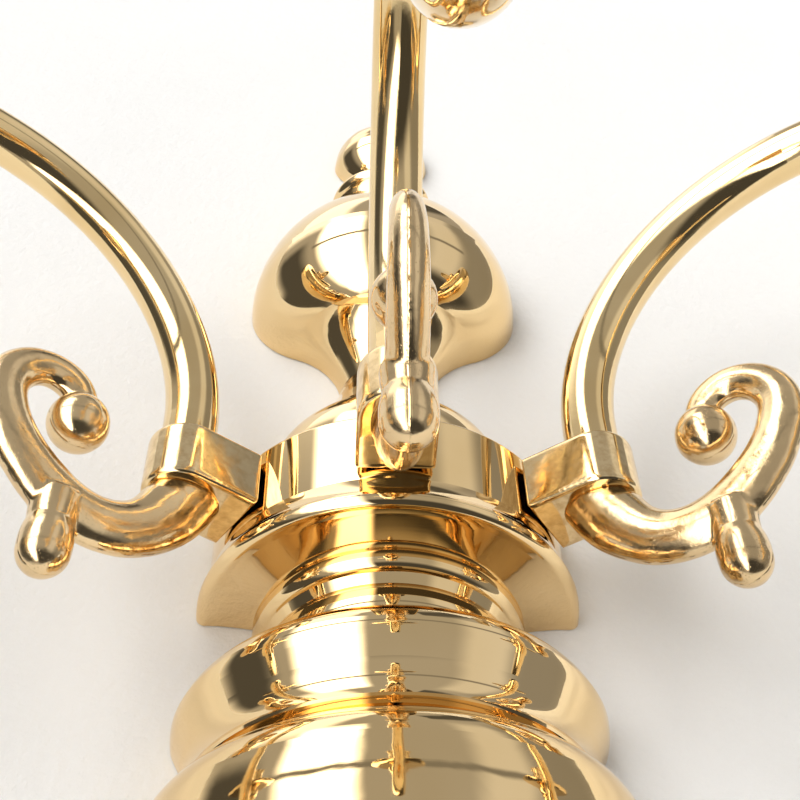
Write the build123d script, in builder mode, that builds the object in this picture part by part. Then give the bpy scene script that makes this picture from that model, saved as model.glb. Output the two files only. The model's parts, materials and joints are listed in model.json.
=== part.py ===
from build123d import *
import os
from math import cos, hypot, radians, sin, sqrt

# Three-light wall sconce of polished brass: a half baluster against the wall, and three arms.
# Millimetres. The wall is the plane Y = 0, the room is on the -Y side, +Z is up.
# The origin lies on the wall, on the centre line, just above the hub's lower lip.

# Driving dimensions of the baluster
axis_back = 1.7          # the turning axis lies this far behind the wall: the saw cut between two halves
wall = 2.0               # wall of the hollow castings
web = 2.5                # flange that seats one casting on the next
edge_break = 0.4          # small flats and roundings that the polishing leaves
flange_bore = 23.0       # hole through the flanges of ball, ring and collar
ball_radius = 48.6
ball_belly_round = 31.4  # radius of the ball's outline from its foot to just above its widest place
ball_shoulder_round = 10.0
ball_shoulder_turn = 6.6  # degrees above level where the tighter shoulder starts
ring_radius = 37.6
ring_height = 2.8
collar_height = 21.8
collar_radius = 44.0
collar_belly_height = 14.4   # the belly's height above the collar's foot
collar_foot_radius = 40.8
collar_top_radius = 37.1
collar_rim_height = 1.3
neck_height = 21.1
neck_radius = 26.7
neck_low_bead_height = 7.7   # the taller bead, half sunk in the collar
neck_low_bead_start = 6.4
neck_cone_height = 2.2
neck_high_bead_radius = 27.6
neck_top_radius = 29.0
bowl_height = 1.0
bowl_radius = 38.4
hub_radius = 40.0
hub_lip_radius = 42.0
hub_lip_height = 8.3
hub_lip_round = 2.2      # height of the lip's widest place above its lower edge
hub_height = 27.3
hub_wall = 3.0
hub_edge = 1.2           # rounding of the hub's top edge
dome_foot_radius = 30.0
dome_shoulder_radius = 25.2
dome_height = 45.5
dome_foot_height = 11.5      # the straight part of the dome above the hub
dome_shoulder_height = 23.5
waist_radius = 12.4      # where the dome meets the vase
vase_radius = 37.0
vase_height = 91.0
vase_throat_height = 3.0
vase_flare_height = 17.4
vase_flare_radius = 25.0
vase_belly_height = 36.5     # middle of the short straight band at the widest place
vase_band = 1.0              # half the height of that band
vase_shoulder_height = 59.0
vase_shoulder_radius = 29.3
vase_top_radius = 14.0
finial_disc_radius = 15.6
finial_disc_height = 3.2
finial_disc_edge = 1.2       # rounding of the disc's lower edge
finial_neck_radius = 8.5
finial_ball_radius = 15.0
finial_neck_height = 10.0
finial_flare = 3.6           # how far the finial's neck widens at its foot
finial_flare_height = 4.0
foot_ring_radius = 16.5
foot_ring_height = 4.0
foot_ring_round = 1.5
foot_neck_radius = 7.4
foot_neck_height = 13.0
foot_low_flare = 2.6         # how far the reel widens at its ends
foot_high_flare = 4.6
foot_band = 1.5              # straight band at each end of the reel
drop_radius = 13.0
drop_neck = 1.6              # the drop's neck is this much wider than the reel's
drop_tip = 3.2
tip_radius = 3.6

# Driving dimensions of the hidden steel parts
plate_width = 24.0
plate_thickness = 2.5
plate_foot_room = 2.0    # room between the ball's floor and the plate's lowest nut
plate_high = 21.0
ear_depth = 13.0
keyhole_entry_radius = 5.0
keyhole_slot_radius = 2.6
keyhole_rise = 8.0
keyhole_spacing = 60.0
keyhole_low = -66.0
rod_radius = 2.5
rod_out = 6.0            # rod's centre line in front of the wall
rod_clearance = 0.3
thread_clearance = 0.05
rod_grip = 12.0          # length of rod inside each finial
nut_width = 8.0
nut_height = 4.0
washer_radius = 5.0
washer_height = 1.0
nut_room = 1.0           # room round the nuts in the back plate's windows

# Driving dimensions of the arms
arm_angles = {"left": -55.0, "centre": 0.0, "right": 55.0}
arm_root = 54.0          # tube's centre line from the turning axis
block_gap = 0.1
block_width = 16.5
block_low = 8.5
block_height = 14.6
block_round = 1.0
block_floor = 3.0
tube_radius = 6.0
tube_wall = 1.2
socket_clearance = 0.05
arch_spring = 30.2
arch_inner_radius = 62.0
arch_outer_radius = 50.0
drop_length = 78.5
bend_radius = 25.0
rise_length = 19.5
screw_radius = 2.5
screw_clearance = 0.25
screw_grip = 6.0
screw_head_radius = 4.4
screw_head_height = 2.6
screw_key_width = 3.0
screw_key_depth = 1.6
pad_width = 13.0
pad_depth = 1.9

# Driving dimensions of the lights
cup_radius = 13.0
cup_height = 20.0
cup_socket = 8.0
cup_lip = 2.2                # lip at the cup's foot, outside the tube
cup_lip_height = 2.6
cup_neck_height = 3.6
cup_belly_height = 13.0
cup_rim_height = 14.6
cup_seat_radius = 9.0
cup_seat_height = 2.2
spigot_radius = 4.0
spigot_height = 8.5
pan_radius = 36.0
pan_thickness = 1.2
pan_rise = 5.0
pan_floor_radius = 26.0
pan_bead = 0.6               # rounding of the pan's rim
pan_clearance = 0.2
nozzle_radius = 14.4      # the tulip's belly
nozzle_throat_radius = 13.9
nozzle_bore_radius = 11.2
nozzle_bore_depth = 22.0
nozzle_floor = 11.1
nozzle_lip_radius = 17.0
nozzle_lip_height = 0.8
flute_count = 8
flute_radius = 4.0
flute_depth = 0.7
nozzle_waist_radius = 8.6
nozzle_foot = 2.0            # how far the nozzle's foot stands out from its waist
nozzle_foot_height = 1.6
nozzle_waist_height = 3.4
nozzle_belly_height = 6.0    # above the floor of the bore
nozzle_throat_depth = 7.0    # below the mouth
spigot_gap = 0.3             # between the spigot's end and the nozzle

# Heights of the seats, from the ball upwards, and the ball's centre
hub_base = -1.8
bowl_base = hub_base - bowl_height
neck_base = bowl_base - neck_height
collar_base = neck_base - collar_height
ring_base = collar_base - ring_height
ball_foot_radius = ball_radius - ball_belly_round
shoulder_set = ball_belly_round - ball_shoulder_round
ball_seat_radius = ball_foot_radius + shoulder_set * cos(radians(ball_shoulder_turn))
ball_centre = ring_base - ball_shoulder_round - shoulder_set * sin(radians(ball_shoulder_turn))
ball_base = ball_centre - ball_belly_round
foot_neck_top = ball_base - foot_ring_height
drop_top = foot_neck_top - foot_neck_height
dome_base = hub_base + hub_height
vase_base = dome_base + dome_height
finial_base = vase_base + vase_height
finial_neck_base = finial_base + finial_disc_height

section_plane = Plane(origin=(0, axis_back, 0), x_dir=(1, 0, 0), z_dir=(0, -1, 0))
turning_axis = Axis((0, axis_back, 0), (0, 0, 1))
wall_plane = Plane(origin=(0, 0, 0), x_dir=(1, 0, 0), z_dir=(0, -1, 0))

os.makedirs("parts", exist_ok=True)


def keep(part, name):
    part.label = name
    export_step(part, f"parts/{name}.step")


# A point beside the middle of a line, for an arc: a positive rise bows out to the right of travel.
def bow(start, end, rise):
    run = hypot(end[0] - start[0], end[1] - start[1])
    right = ((end[1] - start[1]) / run, (start[0] - end[0]) / run)
    middle = ((start[0] + end[0]) / 2, (start[1] + end[1]) / 2)
    return (middle[0] + right[0] * rise, middle[1] + right[1] * rise)


# One closed outline. A stretch is an end point, or an end point and how far its arc bows out.
def outline(start, *stretches):
    here = start
    for stretch in stretches:
        if len(stretch) == 2:
            Line(here, stretch)
            here = stretch
        else:
            end = stretch[:2]
            ThreePointArc(here, bow(here, end, stretch[2]), end)
            here = end
    Line(here, start)


# A turned casting, hollowed out and sawn off at the wall.
def turned_half(outside, hollow=None, bore=None):
    with BuildPart() as casting:
        with BuildSketch(section_plane):
            with BuildLine():
                outline(*outside)
            make_face()
        revolve(axis=turning_axis)
        if hollow:
            with BuildSketch(section_plane):
                with BuildLine():
                    outline(*hollow)
                make_face()
            revolve(axis=turning_axis, mode=Mode.SUBTRACT)
        if bore:
            low, high, radius = bore
            with BuildSketch(Plane.XY.offset(low)):
                with Locations((0, -rod_out)):
                    Circle(radius)
            extrude(amount=high - low, mode=Mode.SUBTRACT)
        split(bisect_by=wall_plane, keep=Keep.TOP)
    return casting.part


rod_hole_radius = rod_radius + rod_clearance
thread_hole_radius = rod_radius + thread_clearance


# How far an arc bows out, from its radius and the degrees that it turns through.
def arc_rise(radius, turn):
    return radius * (1 - cos(radians(turn) / 2))


# The flattened ball's outline, moved inwards by an inset, from its foot up to its seat.
def ball_outline(inset):
    belly = ball_belly_round - inset
    shoulder = ball_shoulder_round - inset
    turn = radians(ball_shoulder_turn)
    join = (ball_foot_radius + belly * cos(turn), ball_centre + belly * sin(turn))
    return [(0, ball_base + inset), (ball_foot_radius, ball_base + inset),
            (*join, arc_rise(belly, 90 + ball_shoulder_turn)),
            (ball_seat_radius, ring_base - inset, arc_rise(shoulder, 90 - ball_shoulder_turn)),
            (0, ring_base - inset)]


# The ball: its casting is as thick at the seat and the foot as at its sides
ball_shell = turned_half(ball_outline(0), ball_outline(wall), (ball_base, ball_base + wall, rod_hole_radius))
with BuildPart() as ball_shell_bored:
    add(ball_shell)
    with BuildSketch(Plane.XY.offset(ring_base - wall)):
        with Locations((0, axis_back)):
            Circle(flange_bore)
    extrude(amount=wall, mode=Mode.SUBTRACT)
keep(ball_shell_bored.part, "ball_shell")

# The ring that seats the collar on the ball
ball_ring = turned_half([(flange_bore, ring_base), (ring_radius - edge_break, ring_base),
                         (ring_radius, ring_base + edge_break), (ring_radius, collar_base - edge_break),
                         (ring_radius - edge_break, collar_base), (flange_bore, collar_base)])
keep(ball_ring, "ball_ring")

# The collar: a flared foot, a hollow above it, a round belly and a thin rim on top
collar_belly = (collar_radius, collar_base + collar_belly_height)
collar_undercut = (collar_radius - 0.8, collar_belly[1] - 3.3)
collar_waist = (collar_radius - 2.6, collar_belly[1] - 6.9)
collar_shoulder = (collar_top_radius + 1.1, neck_base - collar_rim_height)
collar_rim = (collar_top_radius + 0.3, neck_base - collar_rim_height)
collar_shell = turned_half(
    [(flange_bore, collar_base), (collar_foot_radius - edge_break, collar_base),
     (collar_foot_radius, collar_base + edge_break), (*collar_waist, -0.9), collar_undercut,
     (*collar_belly, 0.2), (*collar_shoulder, 1.1), collar_rim, (collar_top_radius, neck_base),
     (flange_bore, neck_base)],
    [(0, collar_base + web), (collar_foot_radius - 1.5 * wall, collar_base + web),
     (collar_waist[0] - wall, collar_waist[1]), (collar_radius - wall, collar_belly[1]),
     (collar_top_radius - 1.5 * wall, neck_base - web), (0, neck_base - web)])
keep(collar_shell, "collar_shell")

# The neck between collar and hub: a tall bead, a cone that widens upwards and a rounder bead
neck_bore = neck_radius - 2 * wall
low_bead_base = neck_base + neck_low_bead_start
low_bead_top = low_bead_base + neck_low_bead_height
cone_top = low_bead_top + neck_cone_height
neck_rings = turned_half(
    [(neck_bore, neck_base), (neck_radius, neck_base), (neck_radius, low_bead_base),
     (neck_radius, low_bead_top, 0.9), (neck_radius - edge_break, low_bead_top),
     (neck_high_bead_radius, cone_top), (neck_top_radius, bowl_base, 1.3), (neck_bore, bowl_base)])
keep(neck_rings, "neck_rings")

# The hub's shallow underside, the hub itself and its dome
hub_bowl = turned_half(
    [(neck_bore, bowl_base), (neck_top_radius + 0.6, bowl_base), (bowl_radius, hub_base, -0.2),
     (neck_bore, hub_base)])
keep(hub_bowl, "hub_bowl")

hub_bore = hub_radius - hub_wall
hub_flange_bore = dome_foot_radius - 2 * web
screw_height = block_low + block_height / 2
pad_face = hub_bore - pad_depth


# A plane square to an arm, a given distance from the turning axis, facing outwards.
def facing_plane(angle, distance, height):
    turn = radians(angle)
    out = (sin(turn), -cos(turn), 0)
    return Plane(origin=(out[0] * distance, axis_back + out[1] * distance, height),
                 x_dir=(cos(turn), sin(turn), 0), z_dir=out)


with BuildPart() as hub_body:
    with BuildSketch(section_plane):
        with BuildLine():
            outline((hub_bore, hub_base), (hub_lip_radius - hub_lip_round, hub_base),
                    (hub_lip_radius, hub_base + hub_lip_round, arc_rise(hub_lip_round, 90)),
                    (hub_radius, hub_base + hub_lip_height, -0.3),
                    (hub_radius, dome_base - hub_edge),
                    (hub_radius - hub_edge, dome_base, 0.35 * hub_edge),
                    (hub_flange_bore, dome_base), (hub_flange_bore, dome_base - web),
                    (hub_bore, dome_base - web))
        make_face()
    revolve(axis=turning_axis)
    with BuildSketch(Plane.XY.offset(hub_base)):
        with Locations((0, axis_back)):
            Circle(hub_bore + 0.5)
            Circle(neck_bore, mode=Mode.SUBTRACT)
    extrude(amount=web)
    for angle in arm_angles.values():
        with BuildSketch(facing_plane(angle, pad_face, screw_height)):
            Rectangle(pad_width, pad_width)
        extrude(amount=pad_depth + hub_wall / 2)
    for angle in arm_angles.values():
        with BuildSketch(facing_plane(angle, pad_face - 1, screw_height)):
            Circle(screw_radius + screw_clearance)
        extrude(amount=hub_wall + pad_depth + 3, mode=Mode.SUBTRACT)
    split(bisect_by=wall_plane, keep=Keep.TOP)
keep(hub_body.part, "hub_body")

dome_foot_top = dome_base + dome_foot_height
dome_shoulder = (dome_shoulder_radius, dome_base + dome_shoulder_height)
dome_wall_end = (dome_shoulder_radius - wall, dome_shoulder[1] - 1.5)
hub_dome = turned_half(
    [(0, dome_base), (dome_foot_radius, dome_base), (dome_foot_radius - 0.6, dome_foot_top),
     (*dome_shoulder, 1.3), (waist_radius, vase_base, -1.1), (0, vase_base)],
    [(0, dome_base - 1), (hub_flange_bore, dome_base - 1), (hub_flange_bore, dome_base + web),
     (dome_foot_radius - wall, dome_base + web), (dome_foot_radius - wall, dome_foot_top),
     (*dome_wall_end, 1.1), (0, dome_wall_end[1])],
    (dome_base, vase_base, rod_hole_radius))
keep(hub_dome, "hub_dome")

# The vase: a slim waist, a hollow underside, a round belly and a long shoulder
vase_throat = (waist_radius - edge_break, vase_base + vase_throat_height)
vase_flare = (vase_flare_radius, vase_base + vase_flare_height)
vase_belly_low = (vase_radius, vase_base + vase_belly_height - vase_band)
vase_belly_high = (vase_radius, vase_base + vase_belly_height + vase_band)
vase_shoulder = (vase_shoulder_radius, vase_base + vase_shoulder_height)
vase_shell = turned_half(
    [(0, vase_base), (waist_radius, vase_base), vase_throat, (*vase_flare, -2.6),
     (*vase_belly_low, 3.2), vase_belly_high, (*vase_shoulder, 1.6),
     (vase_top_radius, finial_base, -0.6), (0, finial_base)],
    [(0, vase_flare[1] + web), (vase_flare[0] - wall, vase_flare[1] + web),
     (vase_belly_low[0] - wall, vase_belly_low[1], 2.6), (vase_belly_high[0] - wall, vase_belly_high[1]),
     (vase_shoulder[0] - wall, vase_shoulder[1], 1.5),
     (vase_top_radius + 0.5, finial_base - 2 * web, -0.5), (0, finial_base - 2 * web)],
    (vase_base, finial_base, rod_hole_radius))
keep(vase_shell, "vase_shell")

# The finial above the vase
finial_ball_centre = finial_neck_base + finial_neck_height + sqrt(
    finial_ball_radius**2 - finial_neck_radius**2)
finial_top = finial_ball_centre + finial_ball_radius
rod_high = finial_neck_base + rod_grip
finial_disc = turned_half(
    [(0, finial_base), (vase_top_radius, finial_base),
     (finial_disc_radius, finial_base + finial_disc_edge, 0.2),
     (finial_disc_radius, finial_neck_base - 2 * edge_break, 0.1),
     (finial_disc_radius - 4 * edge_break, finial_neck_base, 0.2),
     (0, finial_neck_base)],
    bore=(finial_base, finial_neck_base, rod_hole_radius))
keep(finial_disc, "finial_disc")

top_finial = turned_half(
    [(0, finial_neck_base), (finial_neck_radius + finial_flare, finial_neck_base),
     (finial_neck_radius + finial_flare / 3, finial_neck_base + finial_flare_height, -1.0),
     (finial_neck_radius, finial_neck_base + finial_neck_height, -0.2),
     (finial_ball_radius, finial_ball_centre, finial_ball_radius * 0.15),
     (0, finial_top, finial_ball_radius * (1 - sqrt(0.5)))],
    bore=(finial_neck_base, rod_high + 1, thread_hole_radius))
keep(top_finial, "top_finial")

# The foot: a ring, a reel and a drop
foot_ring = turned_half(
    [(0, foot_neck_top), (foot_ring_radius - foot_ring_round, foot_neck_top),
     (foot_ring_radius - foot_ring_round, ball_base, foot_ring_round), (0, ball_base)],
    bore=(foot_neck_top, ball_base, rod_hole_radius))
keep(foot_ring, "lower_ring")

foot_neck = turned_half(
    [(0, drop_top), (foot_neck_radius + foot_low_flare, drop_top),
     (foot_neck_radius + foot_low_flare, drop_top + foot_band),
     (foot_neck_radius + foot_high_flare, foot_neck_top - foot_band, -3.2),
     (foot_neck_radius + foot_high_flare, foot_neck_top), (0, foot_neck_top)],
    bore=(drop_top, foot_neck_top, rod_hole_radius))
keep(foot_neck, "lower_neck")

drop_neck_radius = foot_neck_radius + drop_neck
drop_centre = drop_top - sqrt(drop_radius**2 - drop_neck_radius**2)
drop_base = drop_centre - drop_radius - drop_tip
tip_top = drop_centre - sqrt(drop_radius**2 - tip_radius**2)
low_chord = hypot(drop_radius - tip_radius, drop_centre - tip_top)
high_chord = hypot(drop_radius - drop_neck_radius, drop_top - drop_centre)
drop_low_rise = drop_radius - sqrt(drop_radius**2 - (low_chord / 2) ** 2)
drop_high_rise = drop_radius - sqrt(drop_radius**2 - (high_chord / 2) ** 2)
rod_low = drop_top - rod_grip
drop_finial = turned_half(
    [(0, drop_base), (tip_radius, tip_top, tip_radius * 0.35), (drop_radius, drop_centre, drop_low_rise),
     (drop_neck_radius, drop_top, drop_high_rise), (0, drop_top)],
    bore=(rod_low - 1, drop_top, thread_hole_radius))
keep(drop_finial, "lower_finial")

# The steel back plate: two keyholes, and an ear at each end that holds the tie rod
keyhole_heights = (keyhole_low, keyhole_low + keyhole_spacing)
nut_stack = washer_height + nut_height + nut_room
plate_low = ball_base + wall + plate_foot_room + nut_height + washer_height
low_window = plate_low + plate_thickness + nut_stack / 2
high_window = plate_high - plate_thickness - nut_stack / 2
with BuildPart() as back_plate:
    with BuildSketch(wall_plane):
        with Locations((0, (plate_low + plate_high) / 2)):
            Rectangle(plate_width, plate_high - plate_low)
        for height in keyhole_heights:
            with Locations((0, height)):
                Circle(keyhole_entry_radius, mode=Mode.SUBTRACT)
            with Locations((0, height + keyhole_rise / 2)):
                Rectangle(2 * keyhole_slot_radius, keyhole_rise, mode=Mode.SUBTRACT)
            with Locations((0, height + keyhole_rise)):
                Circle(keyhole_slot_radius, mode=Mode.SUBTRACT)
        for height in (low_window, high_window):
            with Locations((0, height)):
                Rectangle(2 * (washer_radius + nut_room), nut_stack, mode=Mode.SUBTRACT)
    extrude(amount=plate_thickness)
    for height in (plate_low, plate_high - plate_thickness):
        with BuildSketch(Plane.XY.offset(height)):
            with Locations((0, -ear_depth / 2)):
                Rectangle(plate_width, ear_depth)
            with Locations((0, -rod_out)):
                Circle(rod_hole_radius, mode=Mode.SUBTRACT)
        extrude(amount=plate_thickness)
keep(back_plate.part, "back_plate")

with BuildPart() as tie_rod:
    with BuildSketch(Plane.XY.offset(rod_low)):
        with Locations((0, -rod_out)):
            Circle(rod_radius)
    extrude(amount=rod_high - rod_low)
    chamfer(tie_rod.edges().filter_by(GeomType.CIRCLE), 0.4)
keep(tie_rod.part, "tie_rod")

# Nuts and washers lock each ear of the plate on the rod, above and below
ear_faces = ((plate_low + plate_thickness, 1), (plate_low, -1), (plate_high, 1),
             (plate_high - plate_thickness, -1))
with BuildPart() as rod_washers:
    for height, side in ear_faces:
        with BuildSketch(Plane.XY.offset(height)):
            with Locations((0, -rod_out)):
                Circle(washer_radius)
                Circle(rod_hole_radius, mode=Mode.SUBTRACT)
        extrude(amount=side * washer_height)
keep(rod_washers.part, "rod_washers")

with BuildPart() as rod_nuts:
    for height, side in ear_faces:
        with BuildSketch(Plane.XY.offset(height + side * washer_height)):
            with Locations((0, -rod_out)):
                RegularPolygon(nut_width / 2, 6, major_radius=False)
                Circle(thread_hole_radius, mode=Mode.SUBTRACT)
        extrude(amount=side * nut_height)
keep(rod_nuts.part, "rod_nuts")


# Arms. In the centre arm's upright plane, the first figure is the distance from the turning axis.
upright_plane = Plane(origin=(0, axis_back, 0), x_dir=(0, -1, 0), z_dir=(-1, 0, 0))


def level_plane(height):
    return Plane(origin=(0, axis_back, height), x_dir=(0, -1, 0), z_dir=(0, 0, 1))


arm_apex = (arm_root + arch_inner_radius, arch_spring + arch_inner_radius)
arm_drop_top = (arm_apex[0] + arch_outer_radius, arm_apex[1] - arch_outer_radius)
arm_drop_base = (arm_drop_top[0], arm_drop_top[1] - drop_length)
arm_end = (arm_drop_base[0] + 2 * bend_radius, arm_drop_base[1] + rise_length)
tube_low = block_low + block_floor
cup_base = arm_end[1] - cup_socket
pan_base = cup_base + cup_height
nozzle_base = pan_base + pan_thickness
spigot_top = pan_base + spigot_height


# Each arm piece is made on the centre arm and turned about the axis to its three places.
def place_on_arms(part, name):
    for arm_name, arm_angle in arm_angles.items():
        keep(part.rotate(turning_axis, arm_angle), f"{name}_{arm_name}")


def make_block():
    with BuildPart() as arm_block:
        with BuildSketch(level_plane(block_low)):
            with Locations(((hub_radius + block_gap + arm_root) / 2, 0)):
                Rectangle(arm_root - hub_radius - block_gap, block_width)
            with Locations((arm_root, 0)):
                Circle(block_width / 2)
        extrude(amount=block_height)
        fillet(arm_block.edges().group_by(Axis.Z)[0], block_round)
        fillet(arm_block.edges().group_by(Axis.Z)[-1], block_round)
        with BuildSketch(level_plane(tube_low)):
            with Locations((arm_root, 0)):
                Circle(tube_radius + socket_clearance)
        extrude(amount=block_height, mode=Mode.SUBTRACT)
        with BuildSketch(facing_plane(0, hub_radius, screw_height)):
            Circle(screw_radius + thread_clearance)
        extrude(amount=screw_grip + block_gap, mode=Mode.SUBTRACT)
    return arm_block.part


def make_tube():
    with BuildPart() as arm_tube:
        with BuildLine(upright_plane) as arm_path:
            Line((arm_root, tube_low), (arm_root, arch_spring))
            CenterArc((arm_apex[0], arch_spring), arch_inner_radius, 90, 90)
            CenterArc((arm_apex[0], arm_drop_top[1]), arch_outer_radius, 0, 90)
            Line(arm_drop_top, arm_drop_base)
            CenterArc((arm_drop_base[0] + bend_radius, arm_drop_base[1]), bend_radius, 180, 180)
            Line((arm_end[0], arm_drop_base[1]), arm_end)
        with BuildSketch(level_plane(tube_low)) as ring:
            with Locations((arm_root, 0)):
                Circle(tube_radius)
                Circle(tube_radius - tube_wall, mode=Mode.SUBTRACT)
        sweep(path=arm_path.wire())
    prism = arm_path.wire().length * ring.sketch.area
    print("tube volume", round(arm_tube.part.volume, 1), "section times length", round(prism, 1))
    return arm_tube.part


# The scroll under each block: its centre line, half thickness in the arm's plane and across it
scroll_stations = [
    ((53.0, block_low), -90, 8.0, 5.6),
    ((57.0, 1.2), -60, 7.0, 4.9),
    ((62.0, -4.2), -35, 6.2, 4.3),
    ((68.0, -7.0), -11, 6.0, 4.0),
    ((74.4, -7.0), 12, 5.9, 4.0),
    ((80.2, -4.7), 30, 5.8, 4.0),
    ((85.2, -1.0), 40, 5.5, 3.95),
    ((89.8, 3.8), 52, 5.2, 3.9),
    ((93.2, 9.6), 68, 4.9, 3.8),
    ((94.8, 15.8), 90, 4.7, 3.6),
    ((93.4, 21.6), 122, 4.5, 3.4),
    ((89.6, 25.4), 155, 4.3, 3.2),
    ((84.8, 26.2), 190, 4.1, 3.1),
    ((80.6, 24.0), 228, 3.9, 3.0),
    ((78.6, 19.8), 258, 3.6, 2.9),
]
bead_centre = (78.6, 15.4)
bead_radius = 6.4
tail_axis = 79.2
tail_top = -6.0
tail_neck = (4.5, -12.6)
tail_belly = (5.1, -18.6)
tail_base = -24.2


# A point of the centre arm's upright plane, in the room.
def in_room(distance, height):
    return (0, axis_back - distance, height)


def make_scroll():
    with BuildPart() as scroll:
        for place, heading, in_plane, sideways in scroll_stations:
            ahead = (0, -cos(radians(heading)), sin(radians(heading)))
            with BuildSketch(Plane(origin=in_room(*place), x_dir=(1, 0, 0), z_dir=ahead)):
                Ellipse(sideways, in_plane)
        loft()
        with Locations(in_room(*bead_centre)):
            Sphere(bead_radius)
        with BuildSketch(upright_plane):
            with BuildLine():
                outline((tail_axis, tail_base),
                        (tail_axis + tail_belly[0], tail_belly[1], 1.6),
                        (tail_axis + tail_neck[0], tail_neck[1], 0.3),
                        (tail_axis + tail_neck[0] + 0.5, tail_top), (tail_axis, tail_top))
            make_face()
        revolve(axis=Axis(in_room(tail_axis, 0), (0, 0, 1)))
    print("scroll volume", round(scroll.part.volume, 1), "solids", len(scroll.part.solids()))
    return scroll.part


# A piece turned about the arm's upright end.
def turned_light(section):
    with BuildPart() as turned:
        with BuildSketch(upright_plane):
            with BuildLine():
                outline(*[(arm_end[0] + stretch[0], *stretch[1:]) for stretch in section])
            make_face()
        revolve(axis=Axis(in_room(arm_end[0], 0), (0, 0, 1)))
    return turned.part


def make_light():
    socket = tube_radius + socket_clearance
    cup = turned_light([
        (socket, cup_base), (tube_radius + cup_lip, cup_base),
        (tube_radius + cup_lip, cup_base + cup_lip_height, 0.9),
        (tube_radius + cup_lip - 0.6, cup_base + cup_neck_height),
        (cup_radius, cup_base + cup_belly_height, 1.8),
        (cup_radius - edge_break, cup_base + cup_rim_height, 0.5),
        (cup_seat_radius, pan_base - cup_seat_height, -0.8), (cup_seat_radius, pan_base),
        (spigot_radius, pan_base), (spigot_radius, spigot_top - edge_break),
        (spigot_radius - edge_break, spigot_top), (0, spigot_top), (0, arm_end[1]), (socket, arm_end[1])])
    rim = pan_base + pan_rise
    pan = turned_light([
        (spigot_radius + pan_clearance, pan_base), (pan_floor_radius, pan_base),
        (pan_radius - pan_bead, rim - 2 * pan_bead, 0.9), (pan_radius, rim - pan_bead, 0.3),
        (pan_radius - pan_bead, rim, 0.3), (pan_radius - pan_bead - 1.0, rim - pan_bead),
        (pan_floor_radius, nozzle_base, -0.8),
        (spigot_radius + pan_clearance, nozzle_base)])
    barrel_low = nozzle_base + nozzle_floor
    mouth = barrel_low + nozzle_bore_depth
    thread = spigot_radius + thread_clearance
    hole_top = spigot_top + spigot_gap
    nozzle = turned_light([
        (thread, nozzle_base), (nozzle_waist_radius + nozzle_foot, nozzle_base),
        (nozzle_waist_radius + nozzle_foot, nozzle_base + nozzle_foot_height, 0.5),
        (nozzle_waist_radius, nozzle_base + nozzle_waist_height, -0.5),
        (nozzle_radius, barrel_low + nozzle_belly_height, 2.2),
        (nozzle_throat_radius, mouth - nozzle_throat_depth, 0.4),
        (nozzle_lip_radius, mouth - nozzle_lip_height, -0.7),
        (nozzle_lip_radius - edge_break, mouth), (nozzle_bore_radius + edge_break, mouth),
        (nozzle_bore_radius, mouth - edge_break), (nozzle_bore_radius, barrel_low), (0, barrel_low),
        (0, hole_top), (thread, hole_top)])
    with BuildPart() as fluted_nozzle:
        add(nozzle)
        with BuildSketch(Plane(origin=in_room(arm_end[0], barrel_low - flute_depth), z_dir=(0, 0, 1))):
            with PolarLocations(nozzle_radius + flute_radius - flute_depth, flute_count):
                Circle(flute_radius)
        extrude(amount=mouth - barrel_low + 1, mode=Mode.SUBTRACT)
    return cup, pan, fluted_nozzle.part


place_on_arms(make_block(), "arm_block")
place_on_arms(make_tube(), "arm_tube")
place_on_arms(make_scroll(), "scroll_bracket")
arm_cup, drip_pan, candle_nozzle = make_light()
place_on_arms(arm_cup, "arm_cup")
place_on_arms(drip_pan, "drip_pan")
place_on_arms(candle_nozzle, "candle_nozzle")

# The screws that draw the blocks against the hub, driven from inside it
with BuildPart() as arm_screws:
    for angle in arm_angles.values():
        with BuildSketch(facing_plane(angle, pad_face - screw_head_height, screw_height)):
            Circle(screw_head_radius)
        extrude(amount=screw_head_height)
        with BuildSketch(facing_plane(angle, pad_face, screw_height)):
            Circle(screw_radius)
        extrude(amount=hub_radius - pad_face + screw_grip - 0.5)
        with BuildSketch(facing_plane(angle, pad_face - screw_head_height, screw_height)):
            RegularPolygon(screw_key_width / 2, 6, major_radius=False)
        extrude(amount=screw_key_depth, mode=Mode.SUBTRACT)
keep(arm_screws.part, "arm_screws")

print("heights", round(drop_base, 2), "to", round(finial_top, 2))
print("seats", round(ring_base, 2), round(ball_base, 2), "plate", round(plate_low, 2), "to", plate_high)
print("arm end", arm_end, "pan", pan_base, "nozzle", nozzle_base)
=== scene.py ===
import bpy
import json
from math import cos, radians, sin
from mathutils import Matrix, Vector

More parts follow.
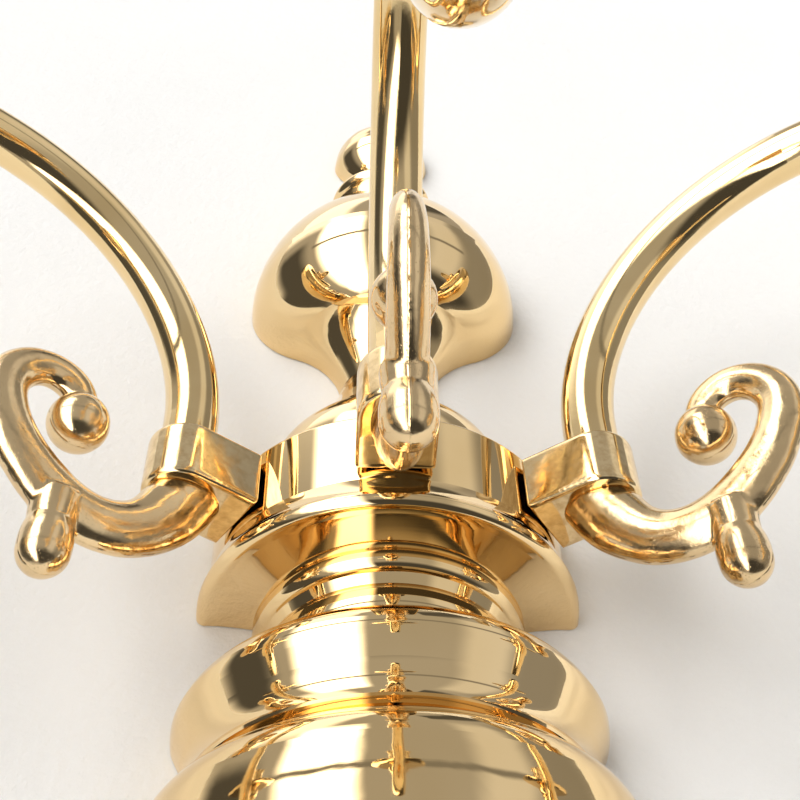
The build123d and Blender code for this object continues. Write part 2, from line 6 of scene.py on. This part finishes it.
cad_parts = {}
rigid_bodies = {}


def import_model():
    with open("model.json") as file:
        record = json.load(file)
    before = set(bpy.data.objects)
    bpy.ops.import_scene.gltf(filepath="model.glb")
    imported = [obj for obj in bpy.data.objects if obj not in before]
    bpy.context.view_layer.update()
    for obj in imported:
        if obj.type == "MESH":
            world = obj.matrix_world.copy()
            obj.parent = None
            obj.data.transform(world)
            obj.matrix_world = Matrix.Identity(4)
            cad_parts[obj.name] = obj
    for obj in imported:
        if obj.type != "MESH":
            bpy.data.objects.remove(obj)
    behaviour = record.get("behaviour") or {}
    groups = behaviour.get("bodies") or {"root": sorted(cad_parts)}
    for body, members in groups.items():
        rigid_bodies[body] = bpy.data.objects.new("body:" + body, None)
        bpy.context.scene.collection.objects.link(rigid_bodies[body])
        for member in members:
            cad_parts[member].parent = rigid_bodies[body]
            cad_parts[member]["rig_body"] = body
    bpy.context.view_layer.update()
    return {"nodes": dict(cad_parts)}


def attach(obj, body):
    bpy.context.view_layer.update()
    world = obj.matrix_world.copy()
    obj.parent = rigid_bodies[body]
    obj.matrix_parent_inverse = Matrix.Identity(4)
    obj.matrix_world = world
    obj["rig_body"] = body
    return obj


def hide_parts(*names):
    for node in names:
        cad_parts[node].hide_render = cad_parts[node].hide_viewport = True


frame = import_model()
print("frame loaded:", len(frame["nodes"]), "nodes")

mm = 0.001  # the lengths below are in millimetres, the scene is in metres
axisBack = 1.7 * mm  # the baluster's turning axis behind the wall
armAngles = {"left": -55.0, "centre": 0.0, "right": 55.0}  # degrees to the right of straight out of the wall
seamWander = 0.4 * mm  # how far a casting seam strays from its plane


# Small helpers

def deselectAll():
    bpy.ops.object.select_all(action="DESELECT")


def giveMaterial(piece, material):
    piece.data.materials.clear()
    piece.data.materials.append(material)


# Node helpers

def newMaterial(name):
    material = bpy.data.materials.new(name)
    material.use_nodes = True
    material.node_tree.nodes.clear()
    return material, material.node_tree


def addNode(tree, kind, inputs=None, **settings):
    node = tree.nodes.new(kind)
    for key, value in settings.items():
        setattr(node, key, value)
    for key, value in (inputs or {}).items():
        if isinstance(value, bpy.types.NodeSocket):
            tree.links.new(value, node.inputs[key])
        else:
            node.inputs[key].default_value = value
    return node


def mathNode(tree, operation, first, second=0.0):
    return addNode(tree, "ShaderNodeMath", {0: first, 1: second}, operation=operation).outputs[0]


def rangeNode(tree, value, fromLow, fromHigh, toLow=0.0, toHigh=1.0, curve="LINEAR"):
    return addNode(tree, "ShaderNodeMapRange",
                   {"Value": value, "From Min": fromLow, "From Max": fromHigh,
                    "To Min": toLow, "To Max": toHigh},
                   interpolation_type=curve).outputs[0]


def mixColour(tree, factor, first, second):
    node = addNode(tree, "ShaderNodeMix", data_type="RGBA")
    for socket, value in zip((node.inputs[0], node.inputs[6], node.inputs[7]), (factor, first, second)):
        if isinstance(value, bpy.types.NodeSocket):
            tree.links.new(value, socket)
        else:
            socket.default_value = value
    return node.outputs[2]


# Shader groups shared by several finishes

def newGroup(name, inputs, outputs):
    group = bpy.data.node_groups.new(name, "ShaderNodeTree")
    for socketName, default in inputs:
        socket = group.interface.new_socket(socketName, in_out="INPUT", socket_type="NodeSocketFloat")
        socket.default_value = default
    for socketName, kind in outputs:
        group.interface.new_socket(socketName, in_out="OUTPUT", socket_type=kind)
    source = group.nodes.new("NodeGroupInput")
    sink = group.nodes.new("NodeGroupOutput")
    return group, source, sink


def makeHandlingGroup():
    # cloudy film that lacquer and fingers leave: slow patches and finer blotches
    group, source, sink = newGroup("handlingFilm", [("Patch Scale", 25.0), ("Blotch Scale", 160.0)],
                                   [("Film", "NodeSocketFloat"), ("Blotches", "NodeSocketFloat")])
    place = addNode(group, "ShaderNodeTexCoord").outputs["Object"]
    patches = addNode(group, "ShaderNodeTexNoise",
                      {"Vector": place, "Scale": source.outputs["Patch Scale"], "Detail": 3.0})
    blotches = addNode(group, "ShaderNodeTexNoise",
                       {"Vector": place, "Scale": source.outputs["Blotch Scale"],
                        "Detail": 5.0, "Roughness": 0.6})
    group.links.new(rangeNode(group, patches.outputs[0], 0.35, 0.68), sink.inputs["Film"])
    group.links.new(rangeNode(group, blotches.outputs[0], 0.4, 0.7), sink.inputs["Blotches"])
    return group


def makeTurningGroup():
    # fine rings left by the lathe and the polishing belt, about the upright axis behind the wall
    group, source, sink = newGroup("turningMarks", [("Pitch", 1.0)], [("Height", "NodeSocketFloat")])
    place = addNode(group, "ShaderNodeTexCoord").outputs["Object"]
    parts = addNode(group, "ShaderNodeSeparateXYZ", {0: place})
    back = mathNode(group, "SUBTRACT", parts.outputs[1], axisBack)
    acrossSquared = mathNode(group, "MULTIPLY", parts.outputs[0], parts.outputs[0])
    backSquared = mathNode(group, "MULTIPLY", back, back)
    radius = mathNode(group, "SQRT", mathNode(group, "ADD", acrossSquared, backSquared))
    along = addNode(group, "ShaderNodeCombineXYZ", {0: radius, 2: parts.outputs[2]})
    fine = addNode(group, "ShaderNodeTexNoise", {"Vector": along.outputs[0], "Scale": 2600.0, "Detail": 2.0})
    drift = addNode(group, "ShaderNodeTexNoise", {"Vector": place, "Scale": 60.0, "Detail": 1.0})
    strength = rangeNode(group, drift.outputs[0], 0.35, 0.7)
    marks = mathNode(group, "MULTIPLY", fine.outputs[0], strength)
    group.links.new(mathNode(group, "MULTIPLY", marks, source.outputs["Pitch"]), sink.inputs["Height"])
    return group


def makeCastingGroup():
    # pores and ripples that the polishing wheel left on a sand casting
    group, source, sink = newGroup("castSkin", [("Pore Scale", 2100.0), ("Ripple Scale", 420.0)],
                                   [("Height", "NodeSocketFloat"), ("Pores", "NodeSocketFloat")])
    place = addNode(group, "ShaderNodeTexCoord").outputs["Object"]
    pores = addNode(group, "ShaderNodeTexVoronoi", {"Vector": place, "Scale": source.outputs["Pore Scale"]})
    gaps = addNode(group, "ShaderNodeTexNoise", {"Vector": place, "Scale": 190.0, "Detail": 3.0})
    ripples = addNode(group, "ShaderNodeTexNoise",
                      {"Vector": place, "Scale": source.outputs["Ripple Scale"],
                       "Detail": 3.0, "Roughness": 0.5})
    pit = rangeNode(group, pores.outputs["Distance"], 0.05, 0.32, 1.0, 0.0, "SMOOTHSTEP")
    pitMask = mathNode(group, "MULTIPLY", pit, rangeNode(group, gaps.outputs[0], 0.46, 0.62))
    height = mathNode(group, "SUBTRACT", ripples.outputs[0], mathNode(group, "MULTIPLY", pitMask, 0.45))
    group.links.new(height, sink.inputs["Height"])
    group.links.new(pitMask, sink.inputs["Pores"])
    return group


def makeSeamGroup():
    # a casting seam, a thin broken ridge in the upright plane of each arm
    group, source, sink = newGroup("castSeam", [("Seam Width", 0.35 * mm)], [("Seam", "NodeSocketFloat")])
    place = addNode(group, "ShaderNodeTexCoord").outputs["Object"]
    parts = addNode(group, "ShaderNodeSeparateXYZ", {0: place})
    back = mathNode(group, "SUBTRACT", parts.outputs[1], axisBack)
    nearest = None
    for angle in armAngles.values():
        across = mathNode(group, "ADD", mathNode(group, "MULTIPLY", parts.outputs[0], cos(radians(angle))),
                          mathNode(group, "MULTIPLY", back, sin(radians(angle))))
        side = mathNode(group, "ABSOLUTE", across)
        nearest = side if nearest is None else mathNode(group, "MINIMUM", nearest, side)
    waver = addNode(group, "ShaderNodeTexNoise", {"Vector": place, "Scale": 260.0, "Detail": 4.0})
    shifted = mathNode(group, "ADD", nearest, mathNode(group, "MULTIPLY", waver.outputs[0], seamWander))
    centred = mathNode(group, "SUBTRACT", shifted, seamWander / 2)
    ridge = addNode(group, "ShaderNodeMapRange", {"Value": centred, "From Min": source.outputs["Seam Width"],
                                                  "From Max": 0.0, "To Min": 0.0, "To Max": 1.0})
    broken = rangeNode(group, waver.outputs[0], 0.42, 0.56)
    group.links.new(mathNode(group, "MULTIPLY", ridge.outputs[0], broken), sink.inputs["Seam"])
    return group


handlingGroup = makeHandlingGroup()
turningGroup = makeTurningGroup()
castingGroup = makeCastingGroup()
seamGroup = makeSeamGroup()


def groupNode(tree, group, inputs=None):
    node = tree.nodes.new("ShaderNodeGroup")
    node.node_tree = group
    for key, value in (inputs or {}).items():
        node.inputs[key].default_value = value
    return node


# Finishes

polishedBrass = {"bright": (0.92, 0.70, 0.40, 1.0), "deep": (0.83, 0.60, 0.30, 1.0),
                 "smooth": 0.03, "hazy": 0.10, "markDepth": 0.0000025}


def makePolishedBrass():
    material, tree = newMaterial("polishedBrass")
    film = groupNode(tree, handlingGroup)
    marks = groupNode(tree, turningGroup)
    colour = mixColour(tree, film.outputs["Film"], polishedBrass["bright"], polishedBrass["deep"])
    haze = mathNode(tree, "MULTIPLY", film.outputs["Film"], film.outputs["Blotches"])
    rough = rangeNode(tree, haze, 0.0, 1.0, polishedBrass["smooth"], polishedBrass["hazy"])
    bump = addNode(tree, "ShaderNodeBump", {"Strength": 1.0, "Distance": polishedBrass["markDepth"],
                                            "Height": marks.outputs["Height"]})
    shader = addNode(tree, "ShaderNodeBsdfPrincipled",
                     {"Base Color": colour, "Metallic": 1.0, "Roughness": rough, "Normal": bump.outputs[0]})
    addNode(tree, "ShaderNodeOutputMaterial", {0: shader.outputs[0]})
    return material


castBrass = {"bright": (0.84, 0.63, 0.36, 1.0), "deep": (0.44, 0.29, 0.14, 1.0), "smooth": 0.12, "hazy": 0.26,
             "filmShare": 0.35, "skinDepth": 0.00006, "seamDepth": 0.00012}


def makeCastBrass():
    material, tree = newMaterial("castBrass")
    film = groupNode(tree, handlingGroup, {"Patch Scale": 60.0, "Blotch Scale": 300.0})
    skin = groupNode(tree, castingGroup)
    seam = groupNode(tree, seamGroup)
    thinFilm = mathNode(tree, "MULTIPLY", film.outputs["Film"], castBrass["filmShare"])
    tint = mathNode(tree, "MAXIMUM", skin.outputs["Pores"], thinFilm)
    stain = mathNode(tree, "MAXIMUM", tint, seam.outputs["Seam"])
    colour = mixColour(tree, stain, castBrass["bright"], castBrass["deep"])
    rough = rangeNode(tree, film.outputs["Blotches"], 0.0, 1.0, castBrass["smooth"], castBrass["hazy"])
    grain = addNode(tree, "ShaderNodeBump", {"Strength": 1.0, "Distance": castBrass["skinDepth"],
                                             "Height": skin.outputs["Height"]})
    ridge = addNode(tree, "ShaderNodeBump", {"Strength": 1.0, "Distance": castBrass["seamDepth"],
                                             "Height": seam.outputs["Seam"], "Normal": grain.outputs[0]})
    shader = addNode(tree, "ShaderNodeBsdfPrincipled",
                     {"Base Color": colour, "Metallic": 1.0, "Roughness": rough, "Normal": ridge.outputs[0]})
    addNode(tree, "ShaderNodeOutputMaterial", {0: shader.outputs[0]})
    return material


blockBrass = {"bright": (0.91, 0.70, 0.40, 1.0), "deep": (0.70, 0.49, 0.24, 1.0),
              "smooth": 0.06, "hazy": 0.18, "dentDepth": 0.00002}


def makeBlockBrass():
    # the clamping blocks: filed flat and buffed, with slow waves and a brown film in random blotches
    material, tree = newMaterial("blockBrass")
    film = groupNode(tree, handlingGroup, {"Patch Scale": 70.0, "Blotch Scale": 420.0})
    colour = mixColour(tree, film.outputs["Blotches"], blockBrass["bright"], blockBrass["deep"])
    rough = rangeNode(tree, film.outputs["Blotches"], 0.0, 1.0, blockBrass["smooth"], blockBrass["hazy"])
    bump = addNode(tree, "ShaderNodeBump", {"Strength": 1.0, "Distance": blockBrass["dentDepth"],
                                            "Height": film.outputs["Film"]})
    shader = addNode(tree, "ShaderNodeBsdfPrincipled",
                     {"Base Color": colour, "Metallic": 1.0, "Roughness": rough, "Normal": bump.outputs[0]})
    addNode(tree, "ShaderNodeOutputMaterial", {0: shader.outputs[0]})
    return material


drawnBrass = {"bright": (0.91, 0.70, 0.39, 1.0), "deep": (0.81, 0.59, 0.29, 1.0),
              "smooth": 0.05, "hazy": 0.13, "wearDepth": 0.000004}


def makeDrawnBrass():
    material, tree = newMaterial("drawnBrass")
    film = groupNode(tree, handlingGroup, {"Patch Scale": 40.0, "Blotch Scale": 260.0})
    colour = mixColour(tree, film.outputs["Film"], drawnBrass["bright"], drawnBrass["deep"])
    rough = rangeNode(tree, film.outputs["Blotches"], 0.0, 1.0, drawnBrass["smooth"], drawnBrass["hazy"])
    bump = addNode(tree, "ShaderNodeBump", {"Strength": 1.0, "Distance": drawnBrass["wearDepth"],
                                            "Height": film.outputs["Blotches"]})
    shader = addNode(tree, "ShaderNodeBsdfPrincipled",
                     {"Base Color": colour, "Metallic": 1.0, "Roughness": rough, "Normal": bump.outputs[0]})
    addNode(tree, "ShaderNodeOutputMaterial", {0: shader.outputs[0]})
    return material


zincSteel = {"bright": (0.62, 0.63, 0.62, 1.0), "deep": (0.48, 0.47, 0.40, 1.0), "smooth": 0.3, "hazy": 0.48}


def makeZincSteel():
    material, tree = newMaterial("zincSteel")
    film = groupNode(tree, handlingGroup, {"Patch Scale": 90.0, "Blotch Scale": 500.0})
    colour = mixColour(tree, film.outputs["Film"], zincSteel["bright"], zincSteel["deep"])
    rough = rangeNode(tree, film.outputs["Blotches"], 0.0, 1.0, zincSteel["smooth"], zincSteel["hazy"])
    shader = addNode(tree, "ShaderNodeBsdfPrincipled",
                     {"Base Color": colour, "Metallic": 1.0, "Roughness": rough})
    addNode(tree, "ShaderNodeOutputMaterial", {0: shader.outputs[0]})
    return material


finishes = {"polished_brass": makePolishedBrass(), "cast_brass": makeCastBrass(),
            "drawn_brass": makeDrawnBrass(), "zinc_steel": makeZincSteel()}
blockFinish = makeBlockBrass()
slotOfNode = {}
for nodeName, node in frame["nodes"].items():
    slotOfNode[nodeName] = node.data.materials[0].name.split(".")[0]
    giveMaterial(node, blockFinish if nodeName.startswith("arm_block") else finishes[slotOfNode[nodeName]])
print("finishes made:", ", ".join(finishes))


# The castings: scrolls, clamping blocks and nozzles, softened where the solids meet in hard corners.
# Lengths in millimetres; rounds is how often the mesh is smoothed.

mergeDistance = 0.002
castings = {
    "scroll_bracket": {"voxel": 0.36, "rounds": 7, "wave": 0.16, "waveSize": 7.0},
    "arm_block": {"voxel": 0.33, "rounds": 5, "wave": 0.05, "waveSize": 9.0},
    "candle_nozzle": {"voxel": 0.36, "rounds": 3, "wave": 0.05, "waveSize": 8.0},
}


def addModifier(piece, kind, **settings):
    modifier = piece.modifiers.new(kind.lower(), kind)
    for key, value in settings.items():
        setattr(modifier, key, value)
    bpy.ops.object.modifier_apply(modifier=modifier.name)


def softCasting(nodeName, settings):
    source = frame["nodes"][nodeName]
    deselectAll()
    piece = bpy.data.objects.new(nodeName + ".cast", source.data.copy())
    bpy.context.scene.collection.objects.link(piece)
    bpy.context.view_layer.objects.active = piece
    piece.select_set(True)
    bpy.ops.object.mode_set(mode="EDIT")
    bpy.ops.mesh.select_all(action="SELECT")
    bpy.ops.mesh.remove_doubles(threshold=mergeDistance * mm)
    bpy.ops.mesh.normals_make_consistent(inside=False)
    bpy.ops.object.mode_set(mode="OBJECT")
    waves = bpy.data.textures.new(nodeName + ".waves", "CLOUDS")
    waves.noise_scale = settings["waveSize"] * mm
    addModifier(piece, "REMESH", mode="VOXEL", voxel_size=settings["voxel"] * mm)
    addModifier(piece, "SMOOTH", factor=0.5, iterations=settings["rounds"])
    addModifier(piece, "DISPLACE", texture=waves, texture_coords="LOCAL", strength=settings["wave"] * mm,
                mid_level=0.5)
    bpy.ops.object.shade_smooth()
    giveMaterial(piece, source.data.materials[0])
    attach(piece, source["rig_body"])
    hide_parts(nodeName)


for family, settings in castings.items():
    for armName in armAngles:
        softCasting(f"{family}_{armName}", settings)
print("castings softened:", ", ".join(castings))


# The wall that the sconce hangs on, seen from the room side only, and a floor far below

wallSettings = {"size": 5.0, "gap": 0.0004, "stipple": 0.00045, "roughness": 0.3,
                "colour": (0.95, 0.955, 0.96, 1.0), "shade": (0.92, 0.925, 0.93, 1.0)}


def makeWallPaint():
    material, tree = newMaterial("wallPaint")
    place = addNode(tree, "ShaderNodeTexCoord").outputs["Object"]
    clouds = addNode(tree, "ShaderNodeTexNoise", {"Vector": place, "Scale": 9.0, "Detail": 3.0})
    stipple = addNode(tree, "ShaderNodeTexNoise",
                      {"Vector": place, "Scale": 420.0, "Detail": 4.0, "Roughness": 0.6})
    cloudMask = rangeNode(tree, clouds.outputs[0], 0.35, 0.7)
    colour = mixColour(tree, cloudMask, wallSettings["colour"], wallSettings["shade"])
    bump = addNode(tree, "ShaderNodeBump", {"Strength": 1.0, "Distance": wallSettings["stipple"],
                                            "Height": stipple.outputs[0]})
    paint = addNode(tree, "ShaderNodeBsdfDiffuse",
                    {"Color": colour, "Roughness": wallSettings["roughness"], "Normal": bump.outputs[0]})
    through = addNode(tree, "ShaderNodeBsdfTransparent")
    behind = addNode(tree, "ShaderNodeNewGeometry").outputs["Backfacing"]
    mixed = addNode(tree, "ShaderNodeMixShader", {0: behind, 1: paint.outputs[0], 2: through.outputs[0]})
    addNode(tree, "ShaderNodeOutputMaterial", {0: mixed.outputs[0]})
    return material


def makeWall():
    deselectAll()
    bpy.ops.mesh.primitive_plane_add(size=wallSettings["size"], rotation=(radians(90), 0, 0),
                                     location=(0, wallSettings["gap"], 0))
    wall = bpy.context.object
    wall.name = "roomWall"
    bpy.ops.object.transform_apply(location=True, rotation=True, scale=True)
    giveMaterial(wall, makeWallPaint())


floorSettings = {"size": 8.0, "height": -1.3, "roughness": 0.7,
                 "colour": (0.86, 0.855, 0.845, 1.0), "shade": (0.82, 0.815, 0.80, 1.0)}


def makeFloor():
    deselectAll()
    bpy.ops.mesh.primitive_plane_add(size=floorSettings["size"], location=(0, 0, floorSettings["height"]))
    floor = bpy.context.object
    floor.name = "paleFloor"
    bpy.ops.object.transform_apply(location=True, rotation=True, scale=True)
    material, tree = newMaterial("floorPaint")
    place = addNode(tree, "ShaderNodeTexCoord").outputs["Object"]
    clouds = addNode(tree, "ShaderNodeTexNoise", {"Vector": place, "Scale": 1.5, "Detail": 3.0})
    cloudMask = rangeNode(tree, clouds.outputs[0], 0.35, 0.7)
    colour = mixColour(tree, cloudMask, floorSettings["colour"], floorSettings["shade"])
    paint = addNode(tree, "ShaderNodeBsdfPrincipled",
                    {"Base Color": colour, "Roughness": floorSettings["roughness"]})
    addNode(tree, "ShaderNodeOutputMaterial", {0: paint.outputs[0]})
    giveMaterial(floor, material)
    floor.visible_glossy = False


makeWall()
makeFloor()
print("wall and floor made")


# The studio: a pale room with a tall soft window at the left and darker flats, by direction.
# A patch is the turn to the right of straight out of the wall, the height, its soft edge and its level.

studio = {
    "level": 0.45,
    "patches": [
        # from, to, low and high in degrees, then the soft edge and the level
        (34, 60, -40, 60, 6, 0.75),
        (60, 92, -70, 62, 8, 0.30),
        (-30, 90, -90, -28, 10, 0.07),
        (-96, -62, -62, 34, 6, 0.09),
        (-112, -90, -5, 34, 8, 1.6),
        (-130, -40, 50, 90, 8, 1.8),
        (-49, -17, -72, 56, 5, 4.5),
        (-55, 60, 19.5, 23.5, 1.5, 0.25),
        (30, 92, 69, 78, 2, 0.10),
    ],
}


def makeStudio():
    world = bpy.data.worlds.new("studio")
    bpy.context.scene.world = world
    world.use_nodes = True
    tree = world.node_tree
    tree.nodes.clear()
    direction = addNode(tree, "ShaderNodeTexCoord").outputs["Generated"]
    parts = addNode(tree, "ShaderNodeSeparateXYZ", {0: direction})
    toRoom = mathNode(tree, "MULTIPLY", parts.outputs[1], -1.0)
    turn = mathNode(tree, "DEGREES", mathNode(tree, "ARCTAN2", parts.outputs[0], toRoom))
    rise = mathNode(tree, "DEGREES", mathNode(tree, "ARCSINE", parts.outputs[2]))
    level = studio["level"]
    for low, high, under, over, edge, value in studio["patches"]:
        mask = rangeNode(tree, turn, low - edge, low + edge, 0.0, 1.0, "SMOOTHSTEP")
        sides = ((turn, high + edge, high - edge), (rise, under - edge, under + edge),
                 (rise, over + edge, over - edge))
        for part, start, end in sides:
            mask = mathNode(tree, "MULTIPLY", mask, rangeNode(tree, part, start, end, 0.0, 1.0, "SMOOTHSTEP"))
        blend = addNode(tree, "ShaderNodeMix", data_type="FLOAT")
        tree.links.new(mask, blend.inputs[0])
        if isinstance(level, bpy.types.NodeSocket):
            tree.links.new(level, blend.inputs[2])
        else:
            blend.inputs[2].default_value = level
        blend.inputs[3].default_value = value
        level = blend.outputs[0]
    room = addNode(tree, "ShaderNodeBackground", {"Color": (1.0, 0.985, 0.96, 1.0), "Strength": level})
    plain = addNode(tree, "ShaderNodeBackground", {"Color": (1.0, 1.0, 1.0, 1.0), "Strength": 1.0})
    seen = addNode(tree, "ShaderNodeLightPath").outputs["Is Camera Ray"]
    mixed = addNode(tree, "ShaderNodeMixShader", {0: seen, 1: room.outputs[0], 2: plain.outputs[0]})
    addNode(tree, "ShaderNodeOutputWorld", {0: mixed.outputs[0]})


makeStudio()


# Camera: low in front of the ball, looking steeply up at the hub

cameraSettings = {"place": (-11.167, -217.711, -169.181), "yaw": 4.171, "pitch": 47.937, "roll": -1.956,
                  "lens": 55.77, "shift": (-0.0031, -0.0005)}


def makeCamera():
    yaw, pitch, roll = (radians(cameraSettings[key]) for key in ("yaw", "pitch", "roll"))
    ahead = Vector((sin(yaw) * cos(pitch), cos(yaw) * cos(pitch), sin(pitch)))
    right = Vector((cos(yaw), -sin(yaw), 0.0))
    up = right.cross(ahead)
    right, up = right * cos(roll) + up * sin(roll), up * cos(roll) - right * sin(roll)
    data = bpy.data.cameras.new("photoCamera")
    data.sensor_width = 36.0
    data.lens = cameraSettings["lens"]
    data.shift_x, data.shift_y = cameraSettings["shift"]
    data.clip_start = 0.01
    camera = bpy.data.objects.new("photoCamera", data)
    bpy.context.scene.collection.objects.link(camera)
    turn = Matrix((right, up, -ahead)).transposed().to_4x4()
    camera.matrix_world = Matrix.Translation(Vector(cameraSettings["place"]) * mm) @ turn
    bpy.context.scene.camera = camera


makeCamera()
bpy.context.scene.view_settings.view_transform = "Standard"
print("studio and camera set")
